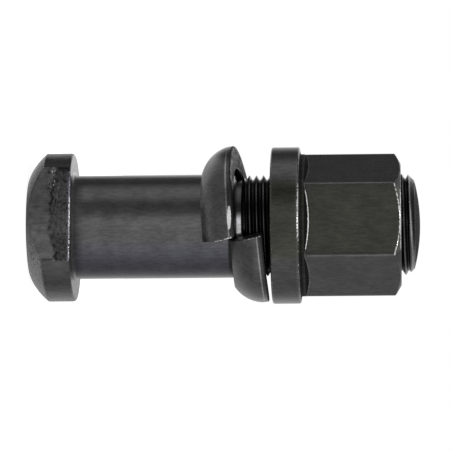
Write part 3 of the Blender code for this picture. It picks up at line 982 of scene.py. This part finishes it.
def steel_paint(name, seed):
    """Blackened steel whose tone, roughness, relief, wear and glints, warmth and matt are painted on the
    mesh.
    """
    paint = Paint(name)
    # The tone is mottled, and streaked along the axis
    cloud = paint.noise(4.0, seed, detail=4)
    grain = paint.noise(0.3, seed + 5)
    streaks = paint.noise(0.45, seed + 15, detail=4, stretch=(1, 1, 0.22))
    mottle = paint.times(paint.step(cloud, 0.3, 0.7, 0.88, 1.1), paint.step(grain, 0.3, 0.75, 0.86, 1.08))
    mottle = paint.times(mottle, paint.step(streaks, 0.3, 0.7, 0.94, 1.28))
    tone = paint.times(paint.mask("tone"), mottle)
    # Painted shade darkens torn places in the hollows of their relief
    torn = paint.noise(0.55, seed + 8, detail=5, roughness=0.7)
    hollows = paint.times(paint.step(paint.mask("relief"), 0.2, 0.9), paint.step(torn, 0.5, 0.38))
    tone = paint.times(tone, paint.step(hollows, 0.0, 1.0, 1.0, 0.35))
    # Warm places have less blue; the warmth tints painted highlights and reflections
    inputs = {0: paint.mask("warm"), 1: -0.14, 2: 1.0}
    blue = paint.times(tone, paint.node("ShaderNodeMath", 0, inputs, operation="MULTIPLY_ADD"))
    colour = paint.node("ShaderNodeCombineColor", 0, {0: tone, 1: tone, 2: blue})
    # Worn places and painted highlights are bright, with patchy edges
    patchy = paint.step(paint.noise(0.5, seed + 11, detail=4), 0.3, 0.7, -0.3, 0.3)
    worn_and_glinting = paint.step(paint.plus(paint.mask("wear"), patchy), 0.45, 0.85)
    fine_bump = paint.bump(paint.noise(0.25, seed + 20), 0.006)
    return paint.finish({
        "Base Color": paint.blend(worn_and_glinting, colour, WORN_AND_GLINT_COLOUR),
        "Metallic": paint.mix(paint.mask("matt"), METALLIC, 0.0),
        "Roughness": paint.times(paint.mask("roughness"), paint.step(grain, 0.2, 0.8, 0.82, 1.2)),
        "Normal": paint.bump(paint.times(torn, paint.mask("relief")), 0.22, fine_bump),
    })


def make_world():
    """A studio of soft panels and dark gaps round the bolt, with a white backdrop for the camera."""
    world = bpy.data.worlds.new("studio")
    bpy.context.scene.world = world
    world.use_nodes = True
    tree = world.node_tree
    direction = add_node(tree, "ShaderNodeTexCoord", "Generated")
    x, y, z = add_node(tree, "ShaderNodeSeparateXYZ", 0, {0: direction}).node.outputs
    minus_x, minus_y = [
        add_node(tree, "ShaderNodeMath", 0, {0: axis, 1: -1.0}, operation="MULTIPLY") for axis in (x, y)
    ]
    side = add_node(tree, "ShaderNodeMath", 0, {0: minus_x, 1: minus_y}, operation="ARCTAN2")
    side_share = add_node(tree, "ShaderNodeMapRange", 0, {0: side, 1: -pi, 2: pi})

    def ramp(brightnesses):
        """A brightness for each side."""
        result = add_node(tree, "ShaderNodeValToRGB", 0, {0: side_share})
        stops = result.node.color_ramp.elements
        while len(stops) < len(brightnesses):
            stops.new(0.5)
        for stop, (degrees_round, brightness) in zip(stops, brightnesses):
            level = brightness / WORLD_STRENGTH
            stop.position = (degrees_round + 180) / 360
            stop.color = (level, level, level, 1)
        return result

    def blend(factor, first, second):
        inputs = {FACTOR: factor, COLOUR_A: first, COLOUR_B: second}
        return add_node(tree, "ShaderNodeMix", COLOUR_RESULT, inputs, data_type="RGBA")

    sides = blend(add_step(tree, z, *LEFT_FADE), ramp(LEFT_AROUND), ramp(ROUND_ABOUT))
    poles = add_step(tree, z, *LEVEL_FADE, BELOW / WORLD_STRENGTH, ABOVE / WORLD_STRENGTH)
    steepness = add_node(tree, "ShaderNodeMath", 0, {0: z}, operation="ABSOLUTE")
    lit = tree.nodes["Background"]
    lit.inputs["Strength"].default_value = WORLD_STRENGTH
    tree.links.new(blend(add_step(tree, steepness, *POLE_FADE), sides, poles), lit.inputs["Color"])
    backdrop = add_node(tree, "ShaderNodeBackground", 0, {"Color": WHITE})
    for_camera = add_node(tree, "ShaderNodeLightPath", "Is Camera Ray")
    chosen = add_node(tree, "ShaderNodeMixShader", 0, {0: for_camera, 1: lit.outputs[0], 2: backdrop})
    tree.links.new(chosen, tree.nodes["World Output"].inputs[0])


def make_light(name, place, aim, size, power):
    """A round soft light, with its place, aim and size in metres and its power in watts."""
    light = bpy.data.lights.new(name, "AREA")
    light.shape = "DISK"
    light.size = size
    light.energy = power
    lamp = bpy.data.objects.new(name, light)
    bpy.context.scene.collection.objects.link(lamp)
    lamp.location = place
    lamp.rotation_euler = (Vector(aim) - Vector(place)).to_track_quat("-Z", "Y").to_euler()
    return lamp


def make_floor():
    """A pale round table under the bolt's head."""
    mesh = bpy.data.meshes.new("floor")
    draft = bmesh.new()
    bmesh.ops.create_circle(draft, cap_ends=True, segments=96, radius=FLOOR_RADIUS)
    draft.to_mesh(mesh)
    draft.free()
    material = bpy.data.materials.new("floor_white")
    material.use_nodes = True
    surface = material.node_tree.nodes["Principled BSDF"]
    surface.inputs["Base Color"].default_value = FLOOR_COLOUR
    surface.inputs["Roughness"].default_value = FLOOR_ROUGHNESS
    surface.inputs["Specular IOR Level"].default_value = FLOOR_SPECULAR_LEVEL
    surface.inputs["Emission Color"].default_value = WHITE
    surface.inputs["Emission Strength"].default_value = FLOOR_GLOW
    mesh.materials.append(material)
    floor = bpy.data.objects.new("floor", mesh)
    bpy.context.scene.collection.objects.link(floor)
    floor.visible_glossy = False


make_camera()
make_world()
overhead = make_light("overhead", place=(0.0, 0.0, 0.7), aim=(0.0, 0.0, 0.0), size=0.5, power=4.0)
overhead.visible_glossy = False
make_light("glint", place=(-0.05, -0.42, 0.50), aim=(0.0, 0.0, 0.05), size=0.24, power=1.2)
make_floor()
bpy.context.scene.view_settings.view_transform = "Standard"
make_bolt(steel_paint("bolt_steel_look", 2.0))
make_nut(steel_paint("nut_steel_look", 32.0))
make_washer(steel_paint("washer_steel_look", 62.0))
